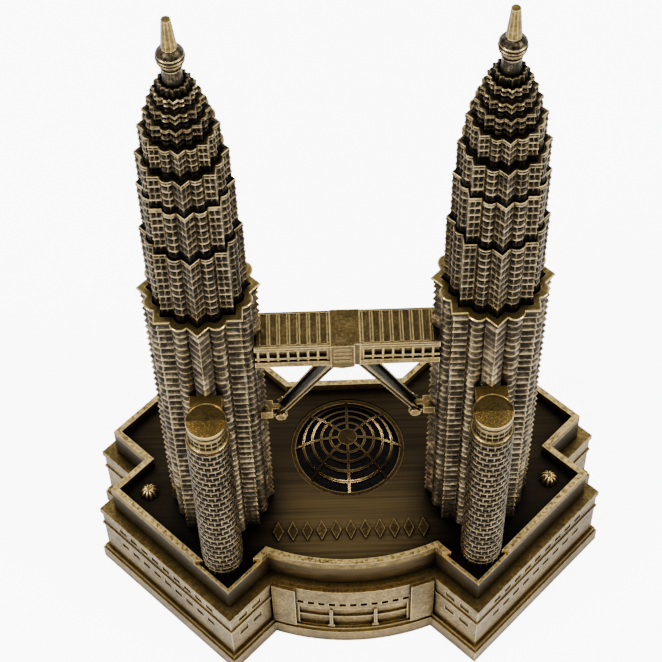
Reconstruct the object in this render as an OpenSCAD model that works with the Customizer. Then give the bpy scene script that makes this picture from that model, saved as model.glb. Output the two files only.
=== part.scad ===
// Miniature landmark: two star-plan towers joined by a skybridge, standing on a
// two-tier podium with a sunken deck. Millimetres, +Z up, front is -Y.
// The origin is the centre of the podium's plan, at table level.

/* [Overall] */
// Height from the table to the spire tips
total_h = 180; // [150:1:216]
// Width of the foot moulding from side tip to side tip
base_w = 115.4; // [96:0.2:139]

/* [Podium] */
// Height of the parapet rim above the table
base_h = 30.5; // [25.4:0.1:36.6]
// Width of the walkway between the two tiers
walk_w = 2.5; // [1.8:0.1:3]
// Width of the flat parapet rim
rim_w = 1.3; // [1:0.1:1.6]
// Wall thickness of the podium castings
wall = 1.8; // [1.4:0.1:2.2]

/* [Towers] */
// Across the corners of the star collar
tower_d = 23.8; // [19.8:0.1:28.6]
// Height of one floor
floor_h = 2.07; // [1.7:0.01:2.5]
// How far each floor band stands out from the shaft
floor_out = 0.35; // [0.2:0.05:0.5]
// Diameter of the round annexe towers
annexe_d = 8.9; // [7.4:0.1:10.7]

/* [Skybridge] */
// Depth of the skybridge from front to back
bridge_d = 8.4; // [7:0.1:10.1]
// Height of the skybridge side wall
bridge_h = 7.2; // [6:0.1:8.7]

/* [Deck] */
// Radius of the domed grille as a share of half the tower spacing
grille_share = 0.436; // [0.36:0.002:0.45]
// Number of raised lozenges in the ornament row
lozenges = 11; // [7:1:13]

/* [Hidden] */

root2 = sqrt(2);
gap = 0.1;                 // working clearance between fitted castings
bite = 0.3;                // overlap that fuses stacked shapes of one casting
fine = 96;                 // segments that stand for a true circle

// podium heights
felt_t = 0.8;
cover_t = 2;
foot_h = 0.177 * base_h;
lower_h = 0.721 * base_h;  // walkway level
deck_z = base_h - 2.6;     // top of the sunken deck
deck_t = 2;
tip_drop = 1.65;           // the parapet is this much lower round the front tips
plate_t = 1.8;             // top plate of the lower tier

// podium plan: two diamonds side by side, their side tips notched
foot_out = 0.8;            // the foot moulding stands this far outside the lower tier
tip_x = base_w / 2 - (walk_w + foot_out) * root2;
tip_y = 0.29 * base_w;
notch = 0.065 * base_w;
diamond_x = tip_x - tip_y + notch;
rear_y = 0.169 * base_w;
bow_x = 0.68 * diamond_x;                        // where the bow meets the front tips
bow_sag = 0.107 * 1.25 * diamond_x;
bow_r = (bow_x * bow_x + bow_sag * bow_sag) / (2 * bow_sag);
bow_cy = -(tip_y - (diamond_x - bow_x)) - bow_sag + bow_r;

// towers and annexes
star_r = tower_d / 2;
shaft_r = 0.954 * star_r;
annexe_r = annexe_d / 2;
tower_x = diamond_x + 1;
annexe_y = -tip_y + (annexe_r + rim_w / 2 + 0.2) * root2 + 1;
tower_y = annexe_y + annexe_r + 0.5 + shaft_r;
tower_h = total_h - deck_z;
lobe_at = 0.765;           // re-entrant corner of the eight-point star, share of its radius
lobe_r = 0.165;

collar_t = 1.8;
collar_z = deck_z + 0.525 * tower_h;
moat = 0.9;                // depth of the dark recess each tier rises from
tier_z = [0.649, 0.733, 0.788, 0.834, 0.861, 0.880, 0.897];
tier_r = [0.807, 0.748, 0.706, 0.609, 0.504, 0.420, 0.332];
function tz(i) = deck_z + tier_z[i] * tower_h;
function tr(i) = tier_r[i] * star_r;
spigot_r = 0.16 * star_r;
spigot_h = 3;
neck_r = 0.145 * star_r;
ball_r = 0.214 * star_r;
ball_z = deck_z + 0.944 * tower_h;
ball_cut = 0.86 * ball_r;  // the ball is cut flat at this height above and below
annexe_top = deck_z + 0.339 * tower_h;
cap_top = deck_z + 0.378 * tower_h;
saddle_z = cap_top + 0.6;  // ridge of the saddle behind the cap
cap_r = 0.908 * annexe_r;
annexe_foot = 3;

// skybridge
bridge_z = deck_z + 0.4235 * tower_h;            // roof level
roof_t = 0.9;
body_z = bridge_z - bridge_h;
block_l = 3.3;             // centre block, left and right of the middle
block_r = 2.6;
bay = 1.97;                // spacing of the roof ribs and windows
body_end = tower_x - 0.6 * shaft_r;

// struts
pin_x = tower_x - shaft_r - 2.75;
pin_z = deck_z + 0.2315 * tower_h;
strut_dx = pin_x - 0.8;
strut_dz = body_z - pin_z;
strut_a = atan2(strut_dz, strut_dx);
strut_l = norm([strut_dx, strut_dz]);
strut_w0 = 3;              // width at the pin
strut_w1 = bridge_d - 3.4;
strut_t = 0.5;
lip_t = 0.5;
lip_h = 0.45;
pin_r = 0.9;
eye_r = 1.35;
eye_w = 0.75;
bracket_h = 2.2;

// grille
grille_r = grille_share * tower_x;
grille_y = 0.026 * base_w;
dome_h = 0.4 * grille_r;
dome_r = (grille_r * grille_r + dome_h * dome_h) / (2 * dome_h);
web_t = 0.7;
ring_w = 0.5;
rings = 5;
well_floor = deck_z - 5;
well_flange = 0.6 * (rear_y - rim_w - 0.6 - grille_y - grille_r);

dome_x = (tower_x + shaft_r + tip_x - rim_w * root2) / 2 - 0.6;
dome_y = -notch + 0.3;
button_r = 2.1;

boss_x = diamond_x;
boss_y = 0.62 * tip_y;
boss_r = 3;
screw_r = 1;

// lower tier details
row_z = [0.845, 0.555];    // window rows, share of the walkway level
long_pitch = (tip_x - diamond_x) * root2 / 10.6;
pilaster_w = 0.3 * bow_x;
opening_z0 = 0.27 * lower_h;
opening_z1 = 0.63 * lower_h;

brass = [0.66, 0.57, 0.36];
pewter = [0.56, 0.52, 0.42];
dark = [0.25, 0.22, 0.16];
steel = [0.62, 0.62, 0.64];

// ---- plan outlines ------------------------------------------------------

// right-hand corners of the podium, from the rear edge round to the front, grown by k
function corners(k) = let(r = k * root2, hy = rear_y + k) [
    [diamond_x - (tip_y + r - hy), hy],
    [diamond_x, tip_y + r],
    [tip_x + r, notch],
    [tip_x - notch + r, 0],
    [tip_x + r, -notch],
    [diamond_x, -tip_y - r],
    [bow_x - 1, -tip_y - r + diamond_x - bow_x + 1]];

module flanks(k) {
    right = corners(k);
    last = len(right) - 1;
    polygon(concat(right, [for (i = [0:last]) [-right[last - i].x, right[last - i].y]]));
}

module bow(k) {
    intersection() {
        translate([0, bow_cy]) circle(r = bow_r + k, $fn = 256);
        translate([2 - diamond_x, -tip_y - k]) square([2 * diamond_x - 4, tip_y + k]);
    }
}

// the podium outline, grown by k on every side, between two heights
module prism(k, z0, z1) {
    union() {
        translate([0, 0, z0]) linear_extrude(z1 - z0) flanks(k);
        translate([0, 0, z0]) linear_extrude(z1 - z0) bow(k);
    }
}

// eight-point star of two squares with a round lobe in every inner corner
module star(r) {
    rotate(45) square(r * root2, center = true);
    square(r * root2, center = true);
    for (i = [0:7]) {
        rotate(22.5 + 45 * i) translate([lobe_at * r, 0]) circle(r = lobe_r * r, $fn = 48);
    }
}

module star_prism(r, z0, z1) {
    translate([0, 0, z0]) linear_extrude(z1 - z0) star(r);
}

module rod(r, z0, z1) {
    translate([0, 0, z0]) cylinder(r = r, h = z1 - z0, $fn = fine);
}

// a run of floor bands from z0 to z1
module floors(r, z0, z1) {
    n = max(1, round((z1 - z0) / floor_h));
    step = (z1 - z0) / n;
    star_prism(r - floor_out, z0, z1);
    for (i = [0:n - 1]) {
        star_prism(r, z0 + step * (i + 0.25), z0 + step * (i + 0.78));
    }
}

module at_tower(s) {
    translate([s * tower_x, tower_y, 0]) children();
}

module at_annexe(s) {
    translate([s * tower_x, annexe_y, 0]) children();
}

// ---- podium -------------------------------------------------------------

module boss_places() {
    for (sx = [-1, 1]) {
        for (sy = [-1, 1]) {
            translate([sx * boss_x, sy * boss_y, 0]) children();
        }
    }
}

module felt_pad() {
    color([0.12, 0.12, 0.12]) prism(walk_w - wall - gap, 0, felt_t);
}

module bottom_cover() {
    color(dark) difference() {
        prism(walk_w - wall - gap, felt_t, felt_t + cover_t);
        boss_places() rod(screw_r + 0.3, felt_t - 1, felt_t + cover_t + 1);
        boss_places() rod(2.4, felt_t - 1, felt_t + 1.3);
    }
}

module cover_screws() {
    color(steel) boss_places() difference() {
        union() {
            rod(2.2, felt_t + 0.1, felt_t + 1.3);
            rod(screw_r, felt_t + 1.3, felt_t + 12);
        }
        translate([0, 0, felt_t + 0.4]) cube([3, 0.6, 0.8], center = true);
    }
}

module foot_moulding() {
    color(brass) difference() {
        union() {
            prism(walk_w + foot_out, 0, 0.78 * foot_h);
            prism(walk_w + foot_out / 2, 0.78 * foot_h, foot_h);
        }
        prism(walk_w - wall, -1, foot_h + 1);
    }
}

// a row of small recessed windows along a 45 degree face of the lower tier
module window_row(n, pitch, z, h) {
    for (i = [0:n - 1]) {
        translate([(i - (n - 1) / 2) * pitch, 0, z]) cube([0.62 * pitch, 1.1, h], center = true);
    }
}

// sets children on the outer side face, front half, of one diamond
module on_long_face(s) {
    mid_x = (diamond_x + tip_x + walk_w * root2) / 2;
    mid_y = -(tip_y + walk_w * root2 + notch) / 2;
    translate([s * mid_x, mid_y, 0]) rotate(s * 45) children();
}

// sets children on the short front face beside the bow
module on_short_face(s) {
    d = (diamond_x - bow_x) / 2;
    translate([s * (diamond_x - d), -tip_y - walk_w * root2 + d, 0]) rotate(-s * 45) children();
}

module on_rear_face(s) {
    mid_x = (diamond_x + tip_x + walk_w * root2) / 2;
    mid_y = (tip_y + walk_w * root2 + notch) / 2;
    translate([s * mid_x, mid_y, 0]) rotate(-s * 45) children();
}

module base_windows() {
    for (s = [-1, 1]) {
        for (i = [0, 1]) {
            on_long_face(s) window_row(9, long_pitch, row_z[i] * lower_h, 0.075 * lower_h);
            on_rear_face(s) window_row(9, long_pitch, row_z[i] * lower_h, 0.075 * lower_h);
            on_short_face(s) window_row(2, 4.2, row_z[i] * lower_h, 0.09 * lower_h);
        }
    }
}

// the part of the ring between two offsets of the bow that lies within half width hx
module bow_band(k0, k1, hx, z0, z1) {
    translate([0, 0, z0]) linear_extrude(z1 - z0) difference() {
        intersection() {
            translate([0, bow_cy]) circle(r = bow_r + k1, $fn = 256);
            translate([-hx, -1.4 * tip_y]) square([2 * hx, tip_y]);
        }
        translate([0, bow_cy]) circle(r = bow_r + k0, $fn = 256);
    }
}

module base_shell() {
    shell_z = foot_h;
    color(brass) difference() {
        union() {
            difference() {
                union() {
                    prism(walk_w - 0.3, shell_z, lower_h - 0.8);
                    prism(walk_w, 0.7 * lower_h, 0.74 * lower_h);
                    prism(walk_w, lower_h - 1.6, lower_h);
                }
                prism(walk_w - wall, shell_z - 1, lower_h - plate_t);
            }
            boss_places() rod(boss_r, felt_t + cover_t, lower_h - plate_t / 2);
        }
        boss_places() rod(screw_r + 0.05, felt_t, felt_t + 13);
        for (s = [-1, 1]) {
            at_tower(s) rod(1.7, lower_h - plate_t - 1, lower_h + 1);
        }
        base_windows();
        bow_band(walk_w - 1.2, walk_w + 6, bow_x - 0.3, shell_z - 1, lower_h + 1);
    }
}

module bow_facade() {
    slots = 11;
    slot_a = 2 * asin((bow_x - pilaster_w) / (bow_r + walk_w)) / slots;
    color(brass) difference() {
        union() {
            bow_band(walk_w - 1.1, walk_w, bow_x - 0.4, foot_h, lower_h);
            difference() {
                bow_band(walk_w - 1.1, walk_w + 0.7, bow_x - 0.4, foot_h, lower_h - 0.4);
                translate([pilaster_w - bow_x, -2 * tip_y, 0])
                    cube([2 * (bow_x - pilaster_w), 2 * tip_y, 2 * lower_h]);
            }
        }
        bow_band(walk_w - 0.6, walk_w + 2, bow_x - pilaster_w - 0.8, opening_z0, opening_z1);
        for (i = [0:slots - 1]) {
            translate([0, bow_cy, 0.73 * lower_h]) rotate(-90 + (i - (slots - 1) / 2) * slot_a)
                translate([bow_r + walk_w, 0, 0]) cube([1, 1.5, 1.3], center = true);
        }
    }
}

// two posts with foot blocks, joined by a thin rail set back between them
module facade_posts() {
    post_x = 0.27 * bow_x;
    rail_x = bow_x - pilaster_w - 0.8;
    rail_z = opening_z0 + 0.5 * (opening_z1 - opening_z0);
    color(brass) union() {
        intersection() {
            for (s = [-1, 1]) {
                translate([s * post_x - 0.35, -2 * tip_y, opening_z0])
                    cube([0.7, 2 * tip_y, opening_z1 - opening_z0]);
                translate([s * post_x - 0.7, -2 * tip_y, opening_z0]) cube([1.4, 2 * tip_y, 0.8]);
            }
            bow_band(walk_w - 0.6, walk_w + 0.25, bow_x, 0, lower_h);
        }
        bow_band(walk_w - 0.6, walk_w - 0.15, rail_x, rail_z, rail_z + 0.4);
    }
}

// region round the front tips where the parapet is lower and thinner; it reaches back
// to just in front of the annexe's middle, so the annexe clears the thicker parapet
module tip_zone(z0, z1) {
    inner = bow_x + rim_w;
    back = annexe_y - 0.254 * annexe_r;
    for (s = [-1, 1]) {
        translate([s > 0 ? inner : -tip_x, -2 * tip_y, z0])
            cube([tip_x - inner, back + 2 * tip_y, z1 - z0]);
    }
}

module deck_tray() {
    color(brass) difference() {
        union() {
            difference() {
                prism(0, lower_h, base_h);
                prism(-rim_w, deck_z, base_h + 1);
                prism(-rim_w - 0.6, lower_h - 1, deck_z - deck_t);
                tip_zone(base_h - tip_drop, base_h + 1);
                intersection() {
                    prism(-0.7, deck_z, base_h + 1);
                    tip_zone(deck_z - 1, base_h + 1);
                }
            }
            for (s = [-1, 1]) {
                at_tower(s) rod(3.4, lower_h, deck_z - deck_t / 2);
            }
        }
        for (s = [-1, 1]) {
            at_tower(s) rod(1.7, lower_h - 1, deck_z + 1);
            at_annexe(s) rod(spigot_r + 0.05, deck_z - deck_t - 1, deck_z + 1);
            translate([s * dome_x, dome_y, 0]) rod(0.85, deck_z - deck_t - 1, deck_z + 1);
        }
        translate([0, grille_y, 0]) rod(grille_r + 0.65, deck_z - deck_t - 1, deck_z + 1);
    }
}

module deck_ornament() {
    row_w = 1.3 * diamond_x;
    pitch = row_w / lozenges;
    row_y = (-tip_y + (diamond_x - bow_x) + tower_y - shaft_r) / 2 + 3.9;
    color(brass) for (i = [0:lozenges - 1]) {
        translate([(i - (lozenges - 1) / 2) * pitch, row_y, deck_z]) linear_extrude(0.5)
            polygon([[0.36 * pitch, 0], [0, 2.4], [-0.36 * pitch, 0], [0, -2.4]]);
    }
}

// ---- grille -------------------------------------------------------------

module grille() {
    cz = deck_z - 0.4 + dome_h - dome_r;
    color(brass) translate([0, grille_y, 0]) union() {
        intersection() {
            difference() {
                translate([0, 0, cz]) sphere(r = dome_r, $fn = fine);
                translate([0, 0, cz]) sphere(r = dome_r - web_t, $fn = fine);
            }
            union() {
                for (i = [1:rings - 1]) {
                    radius = grille_r * (0.175 + 0.825 * i / rings);
                    difference() {
                        rod(radius, deck_z - 0.8, deck_z + 2 * dome_h);
                        rod(radius - ring_w, deck_z - 1, deck_z + 2 * dome_h + 1);
                    }
                }
                rod(0.175 * grille_r, deck_z - 0.8, deck_z + 2 * dome_h);
                for (a = [0:45:135]) {
                    rotate(a) translate([-grille_r + 0.3, -ring_w / 2, deck_z - 0.9])
                        cube([2 * grille_r - 0.6, ring_w, 2 * dome_h]);
                }
            }
        }
        difference() {
            rod(grille_r + 0.55, deck_z - 0.9, deck_z - 0.3);
            rod(grille_r - ring_w, deck_z - 2, deck_z + 1);
        }
    }
}

module grille_well() {
    color([0.16, 0.13, 0.15]) translate([0, grille_y, 0]) difference() {
        union() {
            rod(grille_r + 0.6, well_floor, deck_z - 0.9);
            rod(grille_r + well_flange, deck_z - deck_t - 1, deck_z - deck_t);
        }
        rod(grille_r - 0.2, well_floor + 0.8, deck_z);
    }
}

// small dome with eight ribs that meet under a flat button
module deck_dome(s) {
    quarter = [for (a = [0:9]) [cos(10 * a), sin(10 * a)]];
    half = [for (a = [0:18]) [cos(10 * a), sin(10 * a)]];
    color(brass) translate([s * dome_x, dome_y, deck_z]) union() {
        rotate_extrude($fn = fine) polygon(concat([[0, 0]], (button_r - 0.2) * quarter));
        for (a = [0:45:135]) {
            rotate(a) rotate([90, 0, 0]) linear_extrude(0.5, center = true)
                polygon(button_r * half);
        }
        rod(0.4 * button_r, 0.5 * button_r, button_r + 0.15);
        rod(0.8, -deck_t + 0.2, 0.5);
    }
}

module left_deck_dome() { deck_dome(-1); }

module right_deck_dome() { deck_dome(1); }

// ---- towers -------------------------------------------------------------

module tower_screws() {
    color(steel) for (s = [-1, 1]) {
        at_tower(s) {
            rod(3, lower_h - plate_t - 1.8, lower_h - plate_t);
            rod(1.5, lower_h - plate_t, deck_z + 9);
        }
    }
}

module shaft(s) {
    color(pewter) at_tower(s) difference() {
        floors(shaft_r, deck_z, collar_z - collar_t);
        rod(1.55, deck_z - 1, deck_z + 10);
        rod(spigot_r + 0.05, collar_z - collar_t - spigot_h - 0.2, collar_z);
    }
}

module collar(s) {
    color(brass) at_tower(s) difference() {
        star_prism(star_r, collar_z - collar_t, collar_z);
        star_prism(tr(0) + 0.5, collar_z - moat, collar_z + 1);
        rod(spigot_r + 0.05, collar_z - collar_t - 1, collar_z + 1);
    }
}

module middle_tier(s) {
    z0 = collar_z - moat;
    color(pewter) at_tower(s) difference() {
        union() {
            floors(tr(0), z0, tz(0));
            rod(spigot_r, collar_z - collar_t - spigot_h, z0 + 0.5);
        }
        star_prism(tr(1) + 0.35, tz(0) - moat, tz(0) + 1);
        rod(spigot_r + 0.05, tz(0) - moat - spigot_h - 0.2, tz(0));
    }
}

module upper_tiers(s) {
    color(pewter) at_tower(s) difference() {
        union() {
            floors(tr(1), tz(0) - moat, tz(1));
            floors(tr(2), tz(1) - bite, tz(2));
            floors(tr(3), tz(2) - bite, tz(3));
            rod(spigot_r, tz(0) - moat - spigot_h, tz(0));
        }
        rod(spigot_r + 0.05, tz(3) - spigot_h - 0.2, tz(3) + 1);
    }
}

module crown(s) {
    neck_top = ball_z - ball_cut;
    color(pewter) at_tower(s) difference() {
        union() {
            star_prism(tr(4), tz(3), tz(4));
            star_prism(tr(5), tz(4) - bite, tz(5));
            star_prism(tr(6), tz(5) - bite, tz(6));
            rod(neck_r, tz(6) - bite, neck_top);
            rod(spigot_r, tz(3) - spigot_h, tz(3) + 0.5);
        }
        rod(0.5 * neck_r + 0.05, neck_top - 2.2, neck_top + 1);
    }
}

module ball(s) {
    color(brass) at_tower(s) difference() {
        union() {
            translate([0, 0, ball_z]) sphere(r = 0.94 * ball_r, $fn = fine);
            for (i = [-2:2]) {
                t = i * 0.3 * ball_r;
                rod(sqrt(ball_r * ball_r - t * t), ball_z + t - 0.06 * ball_r,
                    ball_z + t + 0.06 * ball_r);
            }
        }
        rod(ball_r, ball_z - 2 * ball_r, ball_z - ball_cut);
        rod(ball_r, ball_z + ball_cut, ball_z + 2 * ball_r);
        rod(0.5 * neck_r + 0.05, ball_z - 2 * ball_r, ball_z + 2 * ball_r);
    }
}

module spire(s) {
    z0 = ball_z + ball_cut;
    h = total_h - z0;
    color(brass) at_tower(s) {
        translate([0, 0, z0]) cylinder(r1 = 0.118 * star_r, r2 = 0.07 * star_r, h = h, $fn = 10);
        rod(0.5 * neck_r, ball_z - ball_cut - 2, z0 + 0.3);
    }
}

module left_shaft() { shaft(-1); }

module right_shaft() { shaft(1); }

module left_collar() { collar(-1); }

module right_collar() { collar(1); }

module left_middle_tier() { middle_tier(-1); }

module right_middle_tier() { middle_tier(1); }

module left_upper_tiers() { upper_tiers(-1); }

module right_upper_tiers() { upper_tiers(1); }

module left_crown() { crown(-1); }

module right_crown() { crown(1); }

module left_ball() { ball(-1); }

module right_ball() { ball(1); }

module left_spire() { spire(-1); }

module right_spire() { spire(1); }

// ---- annexes ------------------------------------------------------------

module annexe(s) {
    z0 = deck_z + annexe_foot;
    n = round((annexe_top - z0) / floor_h);
    step = (annexe_top - z0) / n;
    color(pewter) at_annexe(s) {
        rotate_extrude($fn = fine) polygon(concat(
            [[0, deck_z], [annexe_r - 0.3, deck_z], [annexe_r - 0.3, z0]],
            [for (i = [0:n - 1]) each [
                [annexe_r - 0.35, z0 + step * i], [annexe_r - 0.35, z0 + step * (i + 0.4)],
                [annexe_r, z0 + step * (i + 0.4)], [annexe_r, z0 + step * (i + 1)]]],
            [[0, annexe_top]]));
        for (i = [0:11]) {
            rotate(30 * i) translate([annexe_r - 0.5, -0.3, deck_z]) cube([0.5, 0.6, annexe_foot + 0.5]);
        }
        rod(spigot_r, deck_z - deck_t + 0.2, deck_z + 0.5);
    }
}

module annexe_cap(s) {
    h = cap_top - annexe_top;
    r = cap_r;
    color(brass) at_annexe(s) difference() {
        rotate_extrude($fn = fine) polygon([
            [0, annexe_top], [r + 0.1, annexe_top], [r - 0.35, annexe_top + 0.12 * h],
            [r - 0.35, annexe_top + 0.62 * h], [r - 0.1, annexe_top + 0.62 * h],
            [r - 0.1, annexe_top + 0.72 * h], [r - 0.3, annexe_top + 0.72 * h],
            [r - 0.3, annexe_top + 0.8 * h], [r, annexe_top + 0.8 * h],
            [r, cap_top], [0, cap_top]]);
        translate([0, 2 * r, cap_top]) rotate([90, 0, 0]) linear_extrude(2 * r)
            polygon([[-r, -0.45], [0, -0.15], [r, -0.45], [r, 1], [-r, 1]]);
    }
}

// saddle between the disc of the annexe cap and the front corner of the shaft, its top
// falling gently from a centre ridge to both sides
module annexe_wedge(s) {
    half_w = 0.79 * cap_r;
    z0 = annexe_top + 0.8 * (cap_top - annexe_top);
    tip = annexe_r + 0.5;
    fall = 0.12 * half_w;
    color(brass) difference() {
        at_annexe(s) translate([0, tip + 0.6, 0]) rotate([90, 0, 0]) linear_extrude(tip + 0.6)
            polygon([[-half_w, z0], [half_w, z0], [half_w, saddle_z - fall], [0, saddle_z],
                [-half_w, saddle_z - fall]]);
        at_annexe(s) rod(cap_r, z0 - 1, saddle_z + 1);
        tower_clearance(z0 - 1, saddle_z + 1);
    }
}

module left_annexe() { annexe(-1); }

module right_annexe() { annexe(1); }

module left_annexe_cap() { annexe_cap(-1); }

module right_annexe_cap() { annexe_cap(1); }

module left_annexe_wedge() { annexe_wedge(-1); }

module right_annexe_wedge() { annexe_wedge(1); }

// ---- skybridge ----------------------------------------------------------

module tower_clearance(z0, z1) {
    for (s = [-1, 1]) {
        at_tower(s) star_prism(shaft_r + gap, z0, z1);
    }
}

// keeps the part of a bridge casting that lies on one side of the centre block
module span_cut(s, z0, z1) {
    edge = s > 0 ? block_r : -block_l;
    difference() {
        children();
        translate([0, -tower_y, 0]) tower_clearance(z0 - 1, z1 + 1);
        translate([s > 0 ? edge - 60 : edge, -bridge_d, z0 - 1]) cube([60, 2 * bridge_d, z1 - z0 + 2]);
    }
}

module span(s) {
    bays = floor((body_end - block_l - 0.6) / bay);
    start = s > 0 ? block_r : block_l;
    color(brass) translate([0, tower_y, 0]) span_cut(s, body_z, bridge_z) difference() {
        union() {
            translate([-body_end, -bridge_d / 2 + 0.2, body_z])
                cube([2 * body_end, bridge_d - 0.4, bridge_h - roof_t]);
            for (e = [-1, 1]) {
                translate([-body_end, e * (bridge_d / 2 - 0.25) - 0.25, bridge_z - 0.26 * bridge_h])
                    cube([2 * body_end, 0.5, 0.26 * bridge_h - roof_t]);
                translate([-body_end, e * (bridge_d / 2 - 0.25) - 0.25, body_z])
                    cube([2 * body_end, 0.5, 0.22 * bridge_h]);
            }
        }
        for (e = [-1, 1]) {
            for (i = [0:bays - 1]) {
                translate([s * (start + 0.5 + bay * (i + 0.5)), e * bridge_d / 2, body_z]) {
                    translate([0, 0, 0.57 * bridge_h])
                        cube([0.8 * bay, 1.6, 0.35 * bridge_h], center = true);
                    translate([0, 0, 0.27 * bridge_h])
                        cube([0.86 * bay, 1.6, 0.09 * bridge_h], center = true);
                }
            }
        }
    }
}

module span_roof(s) {
    z = bridge_z - roof_t;
    ribs = floor((body_end - block_l - 0.3) / bay);
    start = s > 0 ? block_r : block_l;
    color(brass) translate([0, tower_y, 0]) span_cut(s, z, bridge_z) union() {
        translate([-body_end, -bridge_d / 2, z]) cube([2 * body_end, bridge_d, roof_t - 0.35]);
        for (i = [0:ribs]) {
            translate([s * (start + 0.3 + bay * i) - 0.3, -bridge_d / 2 + 0.5, z])
                cube([0.6, bridge_d - 1, roof_t]);
        }
        for (e = [-1, 1]) {
            translate([-body_end, e * (bridge_d / 2 - 0.25) - 0.25, z])
                cube([2 * body_end, 0.5, roof_t - 0.15]);
        }
    }
}

module left_bridge_span() { span(-1); }

module right_bridge_span() { span(1); }

module left_bridge_roof() { span_roof(-1); }

module right_bridge_roof() { span_roof(1); }

// plain block in the middle of the bridge, with a pointed plate on its front
module bridge_centre() {
    d = bridge_d + 0.1;
    plate_out = 0.5;
    plate_r = 0.55 * block_r;
    plate_m = (plate_r - block_l) / 2;
    color(brass) translate([0, tower_y, 0]) difference() {
        union() {
            translate([-block_l, -d / 2, body_z]) cube([block_l + block_r, d, bridge_h]);
            translate([0, 1.2 - plate_out - bridge_d / 2, 0]) rotate([90, 0, 0]) linear_extrude(1.2)
                polygon([[-block_l, bridge_z], [-block_l, body_z], [plate_m, body_z - 0.5],
                    [plate_r, body_z], [plate_r, bridge_z]]);
        }
        for (i = [1:4]) {
            translate([plate_m, -bridge_d / 2 - plate_out, body_z + (0.1 + 0.18 * i) * bridge_h])
                cube([0.7 * (plate_r + block_l), 0.5, 0.2], center = true);
        }
    }
}

// channel-section strut, drawn along +X from the pin, then tilted up to the bridge
module strut(s) {
    reach = strut_l + 3;
    w1 = strut_w0 + (strut_w1 - strut_w0) * reach / strut_l;
    color(brass) mirror([s > 0 ? 0 : 1, 0, 0]) translate([0, tower_y, 0]) difference() {
        translate([pin_x, 0, pin_z]) rotate([0, strut_a - 180, 0]) union() {
            difference() {
                translate([0, 0, -strut_t / 2 - lip_h]) linear_extrude(strut_t + lip_h)
                    polygon([[1.6, -strut_w0 / 2], [reach, -w1 / 2], [reach, w1 / 2],
                        [1.6, strut_w0 / 2]]);
                translate([0, 0, -strut_t / 2 - lip_h - 1]) linear_extrude(lip_h + 1)
                    polygon([[1, lip_t - strut_w0 / 2], [reach + 1, lip_t - w1 / 2],
                        [reach + 1, w1 / 2 - lip_t], [1, strut_w0 / 2 - lip_t]]);
            }
            difference() {
                for (e = [-1, 1]) {
                    translate([0, e * (strut_w0 / 2 - eye_w / 2), 0]) rotate([90, 0, 0])
                        cylinder(r = eye_r, h = eye_w, center = true, $fn = fine);
                    translate([0.8, e * (strut_w0 / 2 - eye_w / 2), -0.35])
                        cube([2.6, eye_w, 1.2], center = true);
                }
                rotate([90, 0, 0]) cylinder(r = pin_r + 0.05, h = 10, center = true, $fn = fine);
            }
        }
        translate([-5, -bridge_d, body_z]) cube([2 * body_end, 2 * bridge_d, 20]);
        translate([-20.1, -bridge_d, pin_z]) cube([20.2, 2 * bridge_d, 60]);
    }
}

module strut_pin(s) {
    color(brass) translate([s * pin_x, tower_y, pin_z]) rotate([90, 0, 0]) union() {
        cylinder(r = pin_r, h = strut_w0 + 1, center = true, $fn = fine);
        translate([0, 0, strut_w0 / 2 + 0.35])
            cylinder(r = pin_r + 0.15, h = 0.5, center = true, $fn = fine);
    }
}

module strut_bracket(s) {
    tongue = strut_w0 - 2 * eye_w - 0.2;
    back = pin_x + eye_r + 0.35;
    color(brass) mirror([s > 0 ? 0 : 1, 0, 0]) difference() {
        translate([0, tower_y, 0]) union() {
            translate([back, -strut_w0 / 2, pin_z - bracket_h / 2])
                cube([0.7 * shaft_r, strut_w0, bracket_h]);
            translate([pin_x, -tongue / 2, pin_z - bracket_h / 2])
                cube([eye_r + 0.8, tongue, bracket_h]);
            translate([pin_x, 0, pin_z]) rotate([90, 0, 0])
                cylinder(r = bracket_h / 2, h = tongue, center = true, $fn = fine);
        }
        translate([pin_x, tower_y, pin_z]) rotate([90, 0, 0])
            cylinder(r = pin_r + 0.05, h = 10, center = true, $fn = fine);
        tower_clearance(pin_z - 10, pin_z + 10);
        translate([tower_x, tower_y - 20, 0]) cube([40, 40, total_h]);
    }
}

module left_strut() { strut(-1); }

module right_strut() { strut(1); }

module left_strut_pin() { strut_pin(-1); }

module right_strut_pin() { strut_pin(1); }

module left_strut_bracket() { strut_bracket(-1); }

module right_strut_bracket() { strut_bracket(1); }

felt_pad();
bottom_cover();
cover_screws();
foot_moulding();
base_shell();
bow_facade();
facade_posts();
deck_tray();
deck_ornament();
grille();
grille_well();
left_deck_dome();
right_deck_dome();
tower_screws();
left_shaft();
right_shaft();
left_collar();
right_collar();
left_middle_tier();
right_middle_tier();
left_upper_tiers();
right_upper_tiers();
left_crown();
right_crown();
left_ball();
right_ball();
left_spire();
right_spire();
left_annexe();
right_annexe();
left_annexe_cap();
right_annexe_cap();
left_annexe_wedge();
right_annexe_wedge();
left_bridge_span();
right_bridge_span();
left_bridge_roof();
right_bridge_roof();
bridge_centre();
left_strut();
right_strut();
left_strut_pin();
right_strut_pin();
left_strut_bracket();
right_strut_bracket();
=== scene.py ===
import math
import bpy
import numpy as np
from mathutils import Matrix, Vector


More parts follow.
